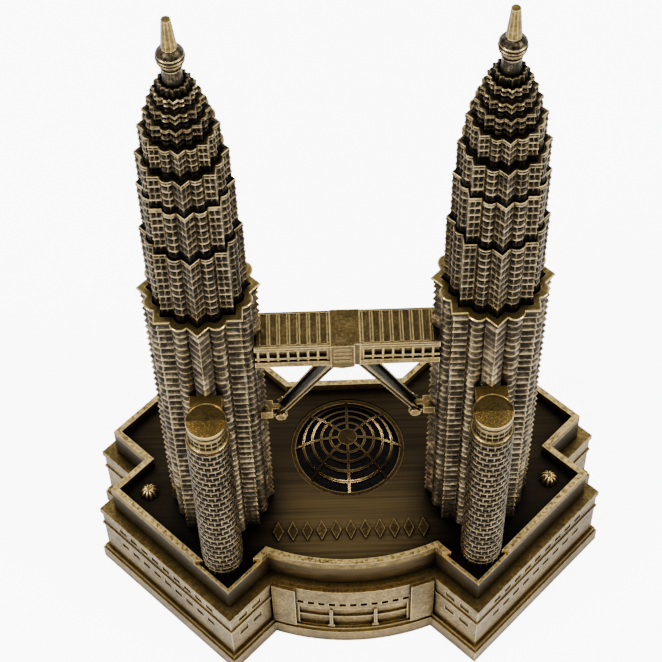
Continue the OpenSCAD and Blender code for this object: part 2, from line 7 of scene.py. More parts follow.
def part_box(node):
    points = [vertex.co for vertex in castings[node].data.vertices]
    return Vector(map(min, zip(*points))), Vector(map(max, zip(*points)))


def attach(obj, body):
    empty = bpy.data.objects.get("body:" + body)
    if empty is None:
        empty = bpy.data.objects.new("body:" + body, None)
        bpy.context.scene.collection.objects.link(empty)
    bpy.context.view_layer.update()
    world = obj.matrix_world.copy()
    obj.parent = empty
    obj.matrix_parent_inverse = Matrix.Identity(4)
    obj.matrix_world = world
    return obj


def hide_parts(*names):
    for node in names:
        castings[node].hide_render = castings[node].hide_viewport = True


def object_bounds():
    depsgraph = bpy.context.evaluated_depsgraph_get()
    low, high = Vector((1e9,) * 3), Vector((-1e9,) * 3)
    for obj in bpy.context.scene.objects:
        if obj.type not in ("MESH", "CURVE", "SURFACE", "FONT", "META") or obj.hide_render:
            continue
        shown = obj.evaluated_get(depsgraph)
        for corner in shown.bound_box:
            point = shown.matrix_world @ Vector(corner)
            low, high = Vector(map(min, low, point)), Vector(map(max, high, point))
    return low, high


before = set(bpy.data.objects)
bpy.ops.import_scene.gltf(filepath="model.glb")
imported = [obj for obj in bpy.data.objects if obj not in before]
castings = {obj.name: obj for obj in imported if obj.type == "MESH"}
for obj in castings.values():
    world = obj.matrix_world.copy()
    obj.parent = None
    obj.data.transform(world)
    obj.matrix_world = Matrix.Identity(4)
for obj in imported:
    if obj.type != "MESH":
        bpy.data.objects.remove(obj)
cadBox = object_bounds()
mm = 0.001
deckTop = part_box("left_shaft")[0].z
tableLevel = cadBox[0].z
print("frame loaded,", len(castings), "castings")


# places and sizes taken from the frame
def middleOf(node):
    low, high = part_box(node)
    return (low + high) / 2


def halfWidth(node):
    low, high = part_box(node)
    return (high.x - low.x) / 2 / mm


# foot and top of a casting, in millimetres
def heightsOf(node):
    low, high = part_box(node)
    return low.z / mm, high.z / mm


def addNode(tree, kind, values=None, **settings):
    node = tree.nodes.new(kind)
    for key, value in settings.items():
        setattr(node, key, value)
    for key, value in (values or {}).items():
        node.inputs[key].default_value = value
    return node


# a and b are numbers or sockets
def mathNode(tree, operation, a, b=0.0, clamp=False):
    node = addNode(tree, "ShaderNodeMath", operation=operation, use_clamp=clamp)
    for slot, value in enumerate((a, b)):
        if isinstance(value, (int, float)):
            node.inputs[slot].default_value = value
        else:
            tree.links.new(value, node.inputs[slot])
    return node.outputs[0]


def rangeNode(tree, value, low, high, toLow=0.0, toHigh=1.0):
    limits = {"From Min": low, "From Max": high, "To Min": toLow, "To Max": toHigh}
    node = addNode(tree, "ShaderNodeMapRange", limits, interpolation_type="SMOOTHSTEP")
    tree.links.new(value, node.inputs["Value"])
    return node.outputs[0]


def mixColour(tree, share, a, b):
    node = addNode(tree, "ShaderNodeMix", data_type="RGBA", blend_type="MIX")
    for socket, value in ((node.inputs[0], share), (node.inputs[6], a), (node.inputs[7], b)):
        if hasattr(value, "links"):
            tree.links.new(value, socket)
        else:
            socket.default_value = value
    return node.outputs[2]


def noiseNode(tree, coords, scale, detail=4.0, rough=0.55):
    node = addNode(tree, "ShaderNodeTexNoise", {"Detail": detail, "Roughness": rough, "Scale": scale})
    tree.links.new(coords, node.inputs["Vector"])
    return node.outputs["Fac"]


def newGroup(name, inputs, outputs):
    group = bpy.data.node_groups.new(name, "ShaderNodeTree")
    for socketName, kind, value in inputs:
        socket = group.interface.new_socket(socketName, in_out="INPUT", socket_type=kind)
        socket.default_value = value
    for socketName, kind in outputs:
        group.interface.new_socket(socketName, in_out="OUTPUT", socket_type=kind)
    return group, group.nodes.new("NodeGroupInput"), group.nodes.new("NodeGroupOutput")


platingLook = {
    "broad": 70.0,              # noise scales, from large patches to grain
    "blotch": 420.0,
    "speck": 1700.0,
    "grain": 3600.0,
    "recessReach": 0.0032,      # how far a recess darkens the metal beside it
    "edgeRadius": 0.00035,      # how far the rubbed metal and the painted highlight reach from an edge
    "dullest": 0.48,            # roughness where nothing is rubbed
    "shiniest": 0.24,
}


# old plating: recesses stay dark, flats are half rubbed, and edges are rubbed bright and painted with
# highlight
def platingGroup():
    group, given, result = newGroup("rubbedPlating", [
        ("Bright", "NodeSocketColor", (0.75, 0.62, 0.36, 1)),
        ("Middle", "NodeSocketColor", (0.30, 0.24, 0.12, 1)),
        ("Dark", "NodeSocketColor", (0.02, 0.017, 0.012, 1)),
        ("EdgeWearAndHighlight", "NodeSocketColor", (0.85, 0.64, 0.30, 1)),
        ("Relief", "NodeSocketFloat", 0.55),
        ("EdgeRubAndHighlight", "NodeSocketFloat", 1.0),
        ("Grime", "NodeSocketFloat", 0.5),
    ], [("Color", "NodeSocketColor"), ("Roughness", "NodeSocketFloat"), ("Height", "NodeSocketFloat")])
    link = group.links.new
    coords = addNode(group, "ShaderNodeTexCoord").outputs["Object"]
    broad = noiseNode(group, coords, platingLook["broad"], 3.0)
    blotch = noiseNode(group, coords, platingLook["blotch"], 4.0, 0.6)
    speck = noiseNode(group, coords, platingLook["speck"], 3.0, 0.65)
    grain = noiseNode(group, coords, platingLook["grain"], 2.0)

    reach = {"Distance": platingLook["recessReach"]}
    recess = addNode(group, "ShaderNodeAmbientOcclusion", reach, samples=6)
    inOpen = rangeNode(group, recess.outputs["AO"], 0.30, 0.95)
    corner = addNode(group, "ShaderNodeBevel", {"Radius": platingLook["edgeRadius"]}, samples=4)
    flat = addNode(group, "ShaderNodeNewGeometry").outputs["Normal"]
    dot = addNode(group, "ShaderNodeVectorMath", operation="DOT_PRODUCT")
    link(corner.outputs["Normal"], dot.inputs[0])
    link(flat, dot.inputs[1])
    edge = rangeNode(group, dot.outputs["Value"], 0.995, 0.88)
    edge = mathNode(group, "MULTIPLY", edge, inOpen)
    edge = mathNode(group, "MULTIPLY", edge, rangeNode(group, speck, 0.30, 0.52, 0.35, 1.0))
    edge = mathNode(group, "MULTIPLY", edge, given.outputs["EdgeRubAndHighlight"], clamp=True)

    # how far this spot is rubbed back to bright metal
    level = given.outputs["Relief"]
    for noise, share in ((blotch, 0.55), (broad, 0.5), (speck, 0.75)):
        swing = mathNode(group, "MULTIPLY", mathNode(group, "SUBTRACT", noise, 0.5), share)
        level = mathNode(group, "ADD", level, swing)
    level = mathNode(group, "MULTIPLY", level, inOpen, clamp=True)
    grime = mathNode(group, "MULTIPLY", rangeNode(group, blotch, 0.62, 0.74), given.outputs["Grime"])
    level = mathNode(group, "MULTIPLY", level, mathNode(group, "SUBTRACT", 1.0, grime), clamp=True)

    halfRubbed = rangeNode(group, level, 0.0, 0.5)
    low = mixColour(group, halfRubbed, given.outputs["Dark"], given.outputs["Middle"])
    high = mixColour(group, rangeNode(group, level, 0.42, 1.0), low, given.outputs["Bright"])
    # edges get the edge colour: worn metal, plus painted highlight standing in for the lamps' glints along
    # edges
    link(mixColour(group, edge, high, given.outputs["EdgeWearAndHighlight"]), result.inputs["Color"])
    rubbed = mathNode(group, "ADD", level, edge)
    rough = rangeNode(group, rubbed, 0.0, 1.0, platingLook["dullest"], platingLook["shiniest"])
    grit = mathNode(group, "MULTIPLY", mathNode(group, "SUBTRACT", grain, 0.5), 0.18)
    link(mathNode(group, "ADD", rough, grit), result.inputs["Roughness"])
    fine = mathNode(group, "MULTIPLY", grain, 0.5)
    link(mathNode(group, "ADD", fine, speck), result.inputs["Height"])
    return group


# fine straight scratches along X: noise stretched about 60 to 1, with broader streaks among them
def brushedGroup():
    group, given, result = newGroup("brushedLines", [
        ("Spacing", "NodeSocketFloat", 1400.0),
    ], [("Lines", "NodeSocketFloat"), ("Streaks", "NodeSocketFloat")])
    coords = addNode(group, "ShaderNodeTexCoord").outputs["Object"]
    for name, across, share in (("Lines", 1.0, 1.0), ("Streaks", 0.22, 0.3)):
        stretch = addNode(group, "ShaderNodeMapping", {"Scale": (0.016 * share, across, across)})
        group.links.new(coords, stretch.inputs["Vector"])
        noise = addNode(group, "ShaderNodeTexNoise", {"Detail": 3.0, "Roughness": 0.6})
        group.links.new(stretch.outputs["Vector"], noise.inputs["Vector"])
        group.links.new(given.outputs["Spacing"], noise.inputs["Scale"])
        group.links.new(noise.outputs["Fac"], result.inputs[name])
    return group


plating = platingGroup()
brushed = brushedGroup()


def newMaterial(name, metallic=1.0):
    material = bpy.data.materials.new(name)
    material.use_nodes = True
    tree = material.node_tree
    shader = tree.nodes["Principled BSDF"]
    shader.inputs["Metallic"].default_value = metallic
    return material, tree, shader


def bumpInto(tree, shader, height, strength, distance):
    bump = addNode(tree, "ShaderNodeBump", {"Strength": strength, "Distance": distance})
    tree.links.new(height, bump.inputs["Height"])
    tree.links.new(bump.outputs["Normal"], shader.inputs["Normal"])


def usePlating(tree, look):
    use = addNode(tree, "ShaderNodeGroup")
    use.node_tree = plating
    for key in ("Bright", "Middle", "Dark", "EdgeWearAndHighlight"):
        use.inputs[key].default_value = (*look[key], 1)
    for key in ("Relief", "EdgeRubAndHighlight", "Grime"):
        use.inputs[key].default_value = look[key]
    return use


# Bright is rubbed metal, Middle half rubbed, Dark is left in recesses, the edge colour is wear and painted
# highlight;
# Relief is how rubbed the flats are, the edge amount how much edge wear and painted highlight, Grime how
# dirty patches are
gold = {"Bright": (0.47, 0.325, 0.105), "Middle": (0.100, 0.066, 0.021), "Dark": (0.005, 0.004, 0.0025),
        "EdgeWearAndHighlight": (0.80, 0.58, 0.24), "Bump": 0.30}
pewter = {"Bright": (0.43, 0.325, 0.180), "Middle": (0.032, 0.025, 0.017), "Dark": (0.0022, 0.0018, 0.0018),
          "EdgeWearAndHighlight": (0.80, 0.58, 0.24), "Bump": 0.35}
finishes = {
    "wornBrass": {**gold, "Relief": 0.60, "EdgeRubAndHighlight": 1.1, "Grime": 0.35},
    "capBrass": {**gold, "Bright": (0.46, 0.325, 0.090), "Middle": (0.16, 0.105, 0.030),
                 "Relief": 0.50, "EdgeRubAndHighlight": 1.2, "Grime": 0.25},
    "collarBrass": {**gold, "Bright": (0.60, 0.430, 0.140), "Middle": (0.17, 0.118, 0.040),
                    "Relief": 0.5, "EdgeRubAndHighlight": 1.2, "Grime": 0.25},
    # the struts' flats are kept dark and barely rubbed: painted shade for what the rear lip casts into the
    # trough
    "shadedChannelBrass": {**gold, "Middle": (0.045, 0.032, 0.014), "Relief": 0.16, "EdgeRubAndHighlight": 1.5, "Grime": 0.35,
                     "Bump": 0.25},
    "finialBronze": {**pewter, "Bright": (0.52, 0.390, 0.180), "Middle": (0.090, 0.068, 0.036),
                     "Relief": 0.42, "EdgeRubAndHighlight": 1.0, "Grime": 0.4, "Bump": 0.30},
    "roofBrass": {**gold, "Bright": (0.42, 0.290, 0.095), "Middle": (0.085, 0.056, 0.018),
                  "Relief": 0.46, "EdgeRubAndHighlight": 1.1, "Grime": 0.4},
    "grilleBrass": {**gold, "Bright": (0.30, 0.190, 0.062), "Middle": (0.040, 0.026, 0.010),
                    "EdgeWearAndHighlight": (0.40, 0.26, 0.085), "Relief": 0.40, "EdgeRubAndHighlight": 0.9, "Grime": 0.4, "Bump": 0.25},
    "towerBronze": {**pewter, "Relief": 0.5, "EdgeRubAndHighlight": 0.9, "Grime": 0.5},
}


# with an attribute, the mesh says at each vertex how rubbed it is, and where it is lowered for painted shade
def platedMaterial(name, attribute=None):
    look = finishes[name]
    material, tree, shader = newMaterial(name)
    use = usePlating(tree, look)
    if attribute:
        relief = addNode(tree, "ShaderNodeAttribute", attribute_name=attribute).outputs["Fac"]
        tree.links.new(relief, use.inputs["Relief"])
        rub = mathNode(tree, "MULTIPLY", relief, 1.3 * look["EdgeRubAndHighlight"], clamp=True)
        tree.links.new(rub, use.inputs["EdgeRubAndHighlight"])
    tree.links.new(use.outputs["Color"], shader.inputs["Base Color"])
    tree.links.new(use.outputs["Roughness"], shader.inputs["Roughness"])
    bumpInto(tree, shader, use.outputs["Height"], look["Bump"], 0.00012)
    return material


wornBrass = platedMaterial("wornBrass")
capBrass = platedMaterial("capBrass")
collarBrass = platedMaterial("collarBrass", "relief")
shadedChannelBrass = platedMaterial("shadedChannelBrass")
finialBronze = platedMaterial("finialBronze", "relief")
roofBrass = platedMaterial("roofBrass")
grilleBrass = platedMaterial("grilleBrass")
towerBronze = platedMaterial("towerBronze", "relief")


deckLook = {
    "walls": {**gold, "EdgeWearAndHighlight": (0.85, 0.64, 0.30), "Relief": 0.62, "EdgeRubAndHighlight": 1.2, "Grime": 0.25},
    "floorInShade": (0.007, 0.006, 0.005, 1),
    "paintedSheen": (0.105, 0.069, 0.027, 1),
    "rim": (0.74, 0.52, 0.18, 1),
    "floorFade": (0.0007, 0.0002),      # above the deck: where the walls start, where the floor is full
    "frontFade": (0.004, -0.016),       # Y where the painted sheen starts, and where it is full
    "sideFade": (0.030, 0.006),         # the same away from the middle
    "leastSheen": 0.26,
    "cornerReach": 0.012,               # how far the painted shade from the walls reaches over the floor
    "rimPatches": 1300.0,
}


# painted sheen on the floor, most in front of the grille, and painted shade near the walls; in streaks along
# X
def deckSheenAndShade(tree, place, lines):
    # ambient occlusion near the walls is painted shade; the front and middle fades are painted reflection of
    # the lamps
    recess = addNode(tree, "ShaderNodeAmbientOcclusion", {"Distance": deckLook["cornerReach"]}, samples=8)
    inOpen = rangeNode(tree, recess.outputs["AO"], 0.45, 0.95)
    fromMiddle = mathNode(tree, "ABSOLUTE", place.outputs["X"])
    inFront = rangeNode(tree, place.outputs["Y"], *deckLook["frontFade"])
    paintedSheen = mathNode(tree, "MULTIPLY", inFront, rangeNode(tree, fromMiddle, *deckLook["sideFade"]))
    broad = mathNode(tree, "MULTIPLY", lines.outputs["Streaks"], 0.35)
    fine = mathNode(tree, "MULTIPLY", lines.outputs["Lines"], 0.65)
    streak = rangeNode(tree, mathNode(tree, "ADD", broad, fine), 0.36, 0.64)
    least = deckLook["leastSheen"]
    share = mathNode(tree, "ADD", least, mathNode(tree, "MULTIPLY", paintedSheen, 1.0 - least))
    share = mathNode(tree, "MULTIPLY", inOpen, share)
    streaky = mathNode(tree, "ADD", 0.50, mathNode(tree, "MULTIPLY", streak, 0.60))
    return mathNode(tree, "MULTIPLY", share, streaky, clamp=True)


# the tray: brushed floor with painted sheen and shade, plated walls, a rim with worn patches of painted
# highlight
def deckMaterial():
    material, tree, shader = newMaterial("deckBrass")
    link = tree.links.new
    use = usePlating(tree, deckLook["walls"])
    lines = addNode(tree, "ShaderNodeGroup")
    lines.node_tree = brushed
    coords = addNode(tree, "ShaderNodeTexCoord")
    place = addNode(tree, "ShaderNodeSeparateXYZ")
    link(coords.outputs["Object"], place.inputs[0])
    facing = addNode(tree, "ShaderNodeSeparateXYZ")
    link(coords.outputs["Normal"], facing.inputs[0])

    share = deckSheenAndShade(tree, place, lines)
    floorColour = mixColour(tree, share, deckLook["floorInShade"], deckLook["paintedSheen"])
    wallsFrom, floorFull = deckLook["floorFade"]
    onFloor = rangeNode(tree, place.outputs["Z"], deckTop + wallsFrom, deckTop + floorFull)
    aboveFloor = mathNode(tree, "SUBTRACT", 1.0, onFloor)
    # upward-facing rim faces get the rim colour in broken patches: wear, plus painted highlight on the bead
    onRim = mathNode(tree, "MULTIPLY", rangeNode(tree, facing.outputs["Z"], 0.6, 0.8), aboveFloor)
    patchNoise = noiseNode(tree, coords.outputs["Object"], deckLook["rimPatches"], 3.0, 0.6)
    patches = rangeNode(tree, patchNoise, 0.36, 0.62)
    rimWearAndHighlight = mathNode(tree, "MULTIPLY", onRim, patches)
    wallColour = mixColour(tree, rimWearAndHighlight, use.outputs["Color"], deckLook["rim"])
    link(mixColour(tree, onFloor, wallColour, floorColour), shader.inputs["Base Color"])
    rough = mathNode(tree, "ADD", 0.28, mathNode(tree, "MULTIPLY", lines.outputs["Lines"], 0.26))
    link(rough, shader.inputs["Roughness"])
    scratches = mathNode(tree, "MULTIPLY", lines.outputs["Lines"], onFloor)
    wear = mathNode(tree, "MULTIPLY", patches, onRim)
    bumpInto(tree, shader, mathNode(tree, "ADD", scratches, wear), 0.30, 0.00015)
    return material


# light and dark are mixed by a noise, which also varies the roughness by this much either way
def plainMaterial(name, light, dark, metallic, roughness, scale, strength, vary=0.08):
    material, tree, shader = newMaterial(name, metallic)
    coords = addNode(tree, "ShaderNodeTexCoord").outputs["Object"]
    grain = noiseNode(tree, coords, scale, 5.0, 0.65)
    colour = mixColour(tree, rangeNode(tree, grain, 0.3, 0.7), (*dark, 1), (*light, 1))
    tree.links.new(colour, shader.inputs["Base Color"])
    rough = rangeNode(tree, grain, 0.2, 0.8, roughness + vary, roughness - vary)
    tree.links.new(rough, shader.inputs["Roughness"])
    bumpInto(tree, shader, grain, strength, 0.0002)
    return material


deckBrass = deckMaterial()
# name, light, dark, metallic, roughness, noise scale, bump
wellLacquer = plainMaterial("wellLacquer", (0.010, 0.006, 0.006), (0.003, 0.002, 0.002), 0.0, 0.50,
                            900.0, 0.1)
wellLacquer.node_tree.nodes["Principled BSDF"].inputs["Specular IOR Level"].default_value = 0.12
screwSteel = plainMaterial("screwSteel", (0.60, 0.60, 0.62), (0.42, 0.42, 0.44), 1.0, 0.32, 1800.0, 0.1)
coverSheet = plainMaterial("coverSheet", (0.13, 0.10, 0.06), (0.05, 0.04, 0.025), 1.0, 0.45, 700.0, 0.15)
blackFelt = plainMaterial("blackFelt", (0.040, 0.040, 0.044), (0.014, 0.014, 0.016), 0.0, 0.95, 2600.0, 0.8)
print("finishes ready")

# first match wins; a casting that matches nothing is worn brass
castingFinishes = (
    (("pin", "bracket"), wornBrass), (("felt_pad",), blackFelt), (("bottom_cover",), coverSheet),
    (("screws",), screwSteel), (("grille_well",), wellLacquer), (("grille", "ornament"), grilleBrass),
    (("deck_tray",), deckBrass), (("left_strut", "right_strut"), shadedChannelBrass),
    (("bridge_roof", "bridge_centre"), roofBrass), (("annexe_wedge", "foot_moulding"), capBrass),
)


def finishFor(name):
    for words, material in castingFinishes:
        if any(word in name for word in words):
            return material
    return wornBrass


for name, node in castings.items():
    node.data.materials.clear()
    node.data.materials.append(finishFor(name))


# quads between neighbouring rows of a grid; the last column joins the first
def gridQuads(rows, columns):
    i, j = np.meshgrid(np.arange(rows - 1), np.arange(columns), indexing="ij")
    a, b = i * columns + j, i * columns + (j + 1) % columns
    return np.stack([a, b, b + columns, a + columns], -1).reshape(-1, 4)


# closes the first and last ring of the grid with a point in the middle of each
def capTriangles(rows, columns):
    j = np.arange(columns)
    k = (j + 1) % columns
    low, high = rows * columns, rows * columns + 1
    top = (rows - 1) * columns
    return np.concatenate([np.stack([k, j, np.full(columns, low)], -1),
                           np.stack([top + j, top + k, np.full(columns, high)], -1)])


# relief is one number for each vertex: how rubbed it is, lowered where painted shade darkens it
def newPiece(name, points, quads, triangles, material, relief, smoothDeg, replaced):
    mesh = bpy.data.meshes.new(name)
    corners = np.concatenate([quads.ravel(), triangles.ravel()]).astype(np.int32)
    starts = np.concatenate([np.arange(len(quads)) * 4, len(quads) * 4 + np.arange(len(triangles)) * 3])
    mesh.vertices.add(len(points))
    mesh.vertices.foreach_set("co", np.asarray(points, np.float32).ravel())
    mesh.loops.add(len(corners))
    mesh.loops.foreach_set("vertex_index", corners)
    mesh.polygons.add(len(starts))
    mesh.polygons.foreach_set("loop_start", starts.astype(np.int32))
    mesh.polygons.foreach_set("use_smooth", np.ones(len(starts), bool))
    mesh.update(calc_edges=True)
    mesh.validate()
    mesh.set_sharp_from_angle(angle=math.radians(smoothDeg))
    if relief is not None:
        layer = mesh.attributes.new("relief", "FLOAT", "POINT")
        layer.data.foreach_set("value", np.asarray(relief, np.float32).ravel())
    mesh.materials.append(material)
    piece = bpy.data.objects.new(name, mesh)
    bpy.context.scene.collection.objects.link(piece)
    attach(piece, "root")
    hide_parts(*replaced)
    return piece


star = {
    "lobeAt": 0.765,        # inner corner, share of the star's radius
    "lobeRadius": 0.165,
    # edges of the mullions along the flat, from the star's point, and which of them stand proud
    "flatMarks": (0.0, 0.026, 0.033, 0.108, 0.115, 0.137, 0.144, 0.219, 0.226, 0.249),
    "flatPosts": (1, 1, 0, 0, 1, 1, 0, 0, 1, 1),
    # the same round the lobe, in degrees
    "lobeMarks": (13.3, 13.7, 15.3, 16.8, 17.2, 18.4, 18.8, 20.6, 22.5),
    "lobePosts": (1, 0, 0, 0, 1, 1, 0, 0, 0),
}


# distance to the star in one direction: the farther of the square's side, cos 45 / cos(45 - a),
# and the round lobe in the inner corner, where a is the angle from the nearest star point
def starOutline(angle):
    a = np.abs((angle + math.pi / 8) % (math.pi / 4) - math.pi / 8)
    side = math.cos(math.pi / 4) / np.cos(math.pi / 4 - a)
    off = math.pi / 8 - a
    room = star["lobeRadius"] ** 2 - (star["lobeAt"] * np.sin(off)) ** 2
    lobe = np.where(room > 0, star["lobeAt"] * np.cos(off) + np.sqrt(np.maximum(room, 0)), 0)
    return np.maximum(side, lobe)


def roundOutline(angle):
    return np.ones_like(angle)


# column angles of one eighth from the marks, mirrored, then repeated round the star
def starColumns():
    across = np.array(star["flatMarks"]) * math.sin(math.pi / 4)
    half = np.concatenate([np.degrees(np.arctan2(across, 1 - across)), star["lobeMarks"]])
    posts = np.concatenate([star["flatPosts"], star["lobePosts"]]).astype(float)
    eighth = np.concatenate([half, 45 - half[-2:0:-1]])
    posts = np.concatenate([posts, posts[-2:0:-1]])
    angle = np.radians((eighth[None, :] + 45 * np.arange(8)[:, None]).ravel())
    posts = np.tile(posts, 8)
    return angle, posts, posts


# mullions evenly round a circle, each this share of a window wide; the second set stands half a
# window further round
def roundColumns(windows, share=0.12):
    marks = np.array([-share / 2, share / 2, share / 2 + 0.03, 0.47 - share / 2,
                      0.5 - share / 2, 0.5 + share / 2, 0.53 + share / 2, 0.97 - share / 2])
    angle = 2 * math.pi / windows * (np.arange(windows)[:, None] + marks[None, :])
    first = np.tile([1, 1, 0, 0, 0, 0, 0, 0], windows).astype(float)
    second = np.tile([0, 0, 0, 0, 1, 1, 0, 0], windows).astype(float)
    return angle.ravel(), first, second


def plainColumns(count):
    return 2 * math.pi * np.arange(count) / count, np.zeros(count), np.zeros(count)


# floors from z0 to z1: every floor repeats the shape rows (height share, window, mullion, rub, rub)
# result rows: z, radius, window, mullion, rub of window, rub of mullion, roundness, which mullions
def floorRows(z0, z1, radius, pitch, shape, stagger=False, dim=0.0):
    shape = np.array(shape)
    count = max(1, round((z1 - z0) / pitch))
    step = (z1 - z0) / count
    level = np.repeat(np.arange(count), len(shape))
    rows = np.tile(shape, (count, 1))
    z = z0 + step * (level + rows[:, 0])
    rub = rows[:, 3:5] * np.where(z < z0 + dim, 0.06, 1.0)[:, None]      # the lowest stretch stays dark: unrubbed patina and painted shade
    phase = level % 2 if stagger else np.zeros(len(z))
    return np.column_stack([z, np.full(len(z), radius), rows[:, 1:3], rub, np.zeros(len(z)), phase])


def plainRow(z, radius, rub, roundness=0.0):
    return np.array([[z, radius, 0, 0, rub, rub, roundness, 0]])


# a closed surface round an upright axis: point = axis + (reach cos a, reach sin a, height), from whole
# grids of reach, height and rub in millimetres, with a point closing each end
def turnedSurface(name, centre, angle, reach, height, relief, material, replaced, smoothDeg=30.0):
    height = height + 0 * reach
    points = np.stack([reach * np.cos(angle), reach * np.sin(angle), height], -1).reshape(-1, 3)
    ends = np.array([[0, 0, height[0].mean()], [0, 0, height[-1].mean()]])
    points = np.concatenate([points, ends]) * mm + np.array([centre.x, centre.y, 0])
    if relief is not None:
        relief = np.append(relief.ravel(), [0.1, relief[-1].mean()])
    quads, triangles = gridQuads(*reach.shape), capTriangles(*reach.shape)
    return newPiece(name, points, quads, triangles, material, relief, smoothDeg, replaced)


# reach = outline(angle) * radius + how far this row stands out at this column; the rub varies a little
# from one patch of 6 rows by 5 columns to the next
def stackSurface(name, centre, columns, rows, outline, material, replaced, uneven=0.35):
    angle, first, second = columns
    z, radius, window, post, rubWindow, rubPost, roundness, phase = (rows[:, i, None] for i in range(8))
    on = np.where(phase > 0.5, second[None, :], first[None, :])
    shape = outline(angle)[None, :] * (1 - roundness) + roundness
    reach = radius * shape + window + (post - window) * on
    relief = rubWindow + (rubPost - rubWindow) * on
    draw = np.random.default_rng(len(rows))
    patches = draw.uniform(1 - uneven, 1 + 0.6 * uneven, (len(rows) // 6 + 1, len(angle) // 5 + 1))
    patches = patches.repeat(6, axis=0).repeat(5, axis=1)[:len(rows), :len(angle)]
    return turnedSurface(name, centre, angle, reach, z, relief * patches, material, replaced)


towers = {
    "shaftPitch": 2.07,
    "tierPitch": (1.97, 1.85, 1.85, 1.75, 1.5, 1.3, 1.3),
    "tierTops": (0.649, 0.733, 0.788, 0.834, 0.861, 0.880, 0.897),   # share of the tower's height
    "tierSizes": (0.807, 0.748, 0.706, 0.609, 0.504, 0.420, 0.332),  # share of the collar's radius
    "crownFrom": 4,         # tiers from here on are the crown's
    "moat": 0.9,            # depth of the gap that each tier rises from, mm
    "moatGap": 0.35,        # its width
    "cuff": 0.262,          # share of the collar's radius
    "neck": 0.145,
    "dim": 2.5,             # height of the dark foot of a tier: unrubbed patina and painted shade
    "crownDim": 1.6,
    # height share, window, mullion (mm proud), rub of window, rub of mullion
    "shaftFloor": ((0.0, -0.50, -0.47, 0.0, 0.02), (0.38, -0.50, -0.47, 0.02, 0.06),
                   (0.40, 0.0, 0.0, 0.30, 0.40), (0.50, 0.05, 0.05, 1.1, 1.1),
                   (0.57, 0.0, 0.0, 0.62, 0.65), (0.97, -0.42, -0.38, 0.42, 0.45)),
    "tierFloor": ((0.0, -0.36, -0.10, 0.0, 0.25), (0.46, -0.36, -0.10, 0.0, 0.35),
                  (0.48, 0.03, 0.03, 0.25, 0.45), (0.58, 0.07, 0.07, 1.0, 1.0),
                  (0.68, 0.02, 0.02, 0.50, 0.55), (0.97, -0.24, -0.16, 0.10, 0.22)),
    "crownFloor": ((0.0, -0.45, -0.20, 0.0, 0.05), (0.50, -0.40, -0.20, 0.0, 0.10),
                   (0.58, 0.02, 0.02, 0.10, 0.15), (0.72, 0.05, 0.05, 0.75, 0.80),
                   (0.85, -0.05, -0.05, 0.25, 0.30), (0.97, -0.20, -0.15, 0.05, 0.08)),
}


# one tier, from inside the moat below it up to its top
def tierRows(index, foot, top, radius):
    crown = index >= towers["crownFrom"]
    shape = towers["crownFloor"] if crown else towers["tierFloor"]
    dim = towers["crownDim"] if crown else towers["dim"]
    return floorRows(foot, top, radius, towers["tierPitch"][index], shape, dim=dim)


# the tier's bright parapet edge, then down into the dark moat that the next tier rises from
def setbackRows(index, top, radius, inner):
    bright = 0.9 if index < towers["crownFrom"] else 0.45
    return [plainRow(top - 0.12, radius + 0.05, bright), plainRow(top, radius, bright),
            plainRow(top, inner, 0.2), plainRow(top - towers["moat"], inner - 0.02, 0.0)]


# the crown ends in a last fluted cuff that hugs the foot of the round neck
def neckRows(top, radius, cuff, neck, neckTop):
    rows = [plainRow(top - 0.1, radius, 0.4), plainRow(top, radius - 0.1, 0.2), plainRow(top, cuff, 0.0),
            plainRow(top + 1.3, cuff - 0.15, 0.08), plainRow(top + 1.7, cuff - 0.25, 0.45),
            plainRow(top + 1.7, cuff - 0.6, 0.05), plainRow(top + 1.4, neck + 0.25, 0.0, 1.0)]
    for rise, out, rub in ((1.9, 0.12, 0.25), (2.6, 0.0, 0.40)):
        rows.append(plainRow(top + rise, neck + out, rub, 1.0))
    for drop, out, rub in ((0.5, 0.0, 0.55), (0.2, 0.15, 0.7), (0.0, 0.15, 0.7)):
        rows.append(plainRow(neckTop - drop, neck + out, rub, 1.0))
    return rows


def makeTower(side):
    place = middleOf(side + "_collar")
    columns = starColumns()
    shaftFoot, shaftTop = heightsOf(side + "_shaft")
    shaftRadius, collarRadius = halfWidth(side + "_shaft"), halfWidth(side + "_collar")
    rows = floorRows(shaftFoot, shaftTop, shaftRadius, towers["shaftPitch"], towers["shaftFloor"])
    stackSurface(side + "TowerShaft", place, columns, rows, starOutline, towerBronze, (side + "_shaft",))

    foot, tip = deckTop / mm, cadBox[1].z / mm
    tops = [foot + share * (tip - foot) for share in towers["tierTops"]]
    sizes = [share * collarRadius for share in towers["tierSizes"]]
    moat, gap = towers["moat"], towers["moatGap"]
    collarTop = heightsOf(side + "_collar")[1]
    feet = [top - moat for top in [collarTop, *tops]]

    # tiers first to last with their setbacks; the last one's is left to what follows it
    def stepped(first, last):
        rows = []
        for index in range(first, last + 1):
            rows.append(tierRows(index, feet[index], tops[index], sizes[index]))
            if index + 1 < len(sizes):
                rows += setbackRows(index, tops[index], sizes[index], sizes[index + 1] + gap)
        return rows

    lowerStacks = (("MiddleTier", "_middle_tier", 0, 0), ("UpperTiers", "_upper_tiers", 1, 3))
    for name, node, first, last in lowerStacks:
        rows = np.concatenate([*stepped(first, last), plainRow(tops[last] - moat, 2.0, 0.0)])
        stackSurface(side + name, place, columns, rows, starOutline, towerBronze, (side + node,))
    neck = neckRows(tops[-1], sizes[-1], towers["cuff"] * collarRadius, towers["neck"] * collarRadius,
                    heightsOf(side + "_ball")[0])
    rows = np.concatenate([*stepped(towers["crownFrom"], len(sizes) - 1), *neck])
    stackSurface(side + "Crown", place, columns, rows, starOutline, towerBronze, (side + "_crown",))


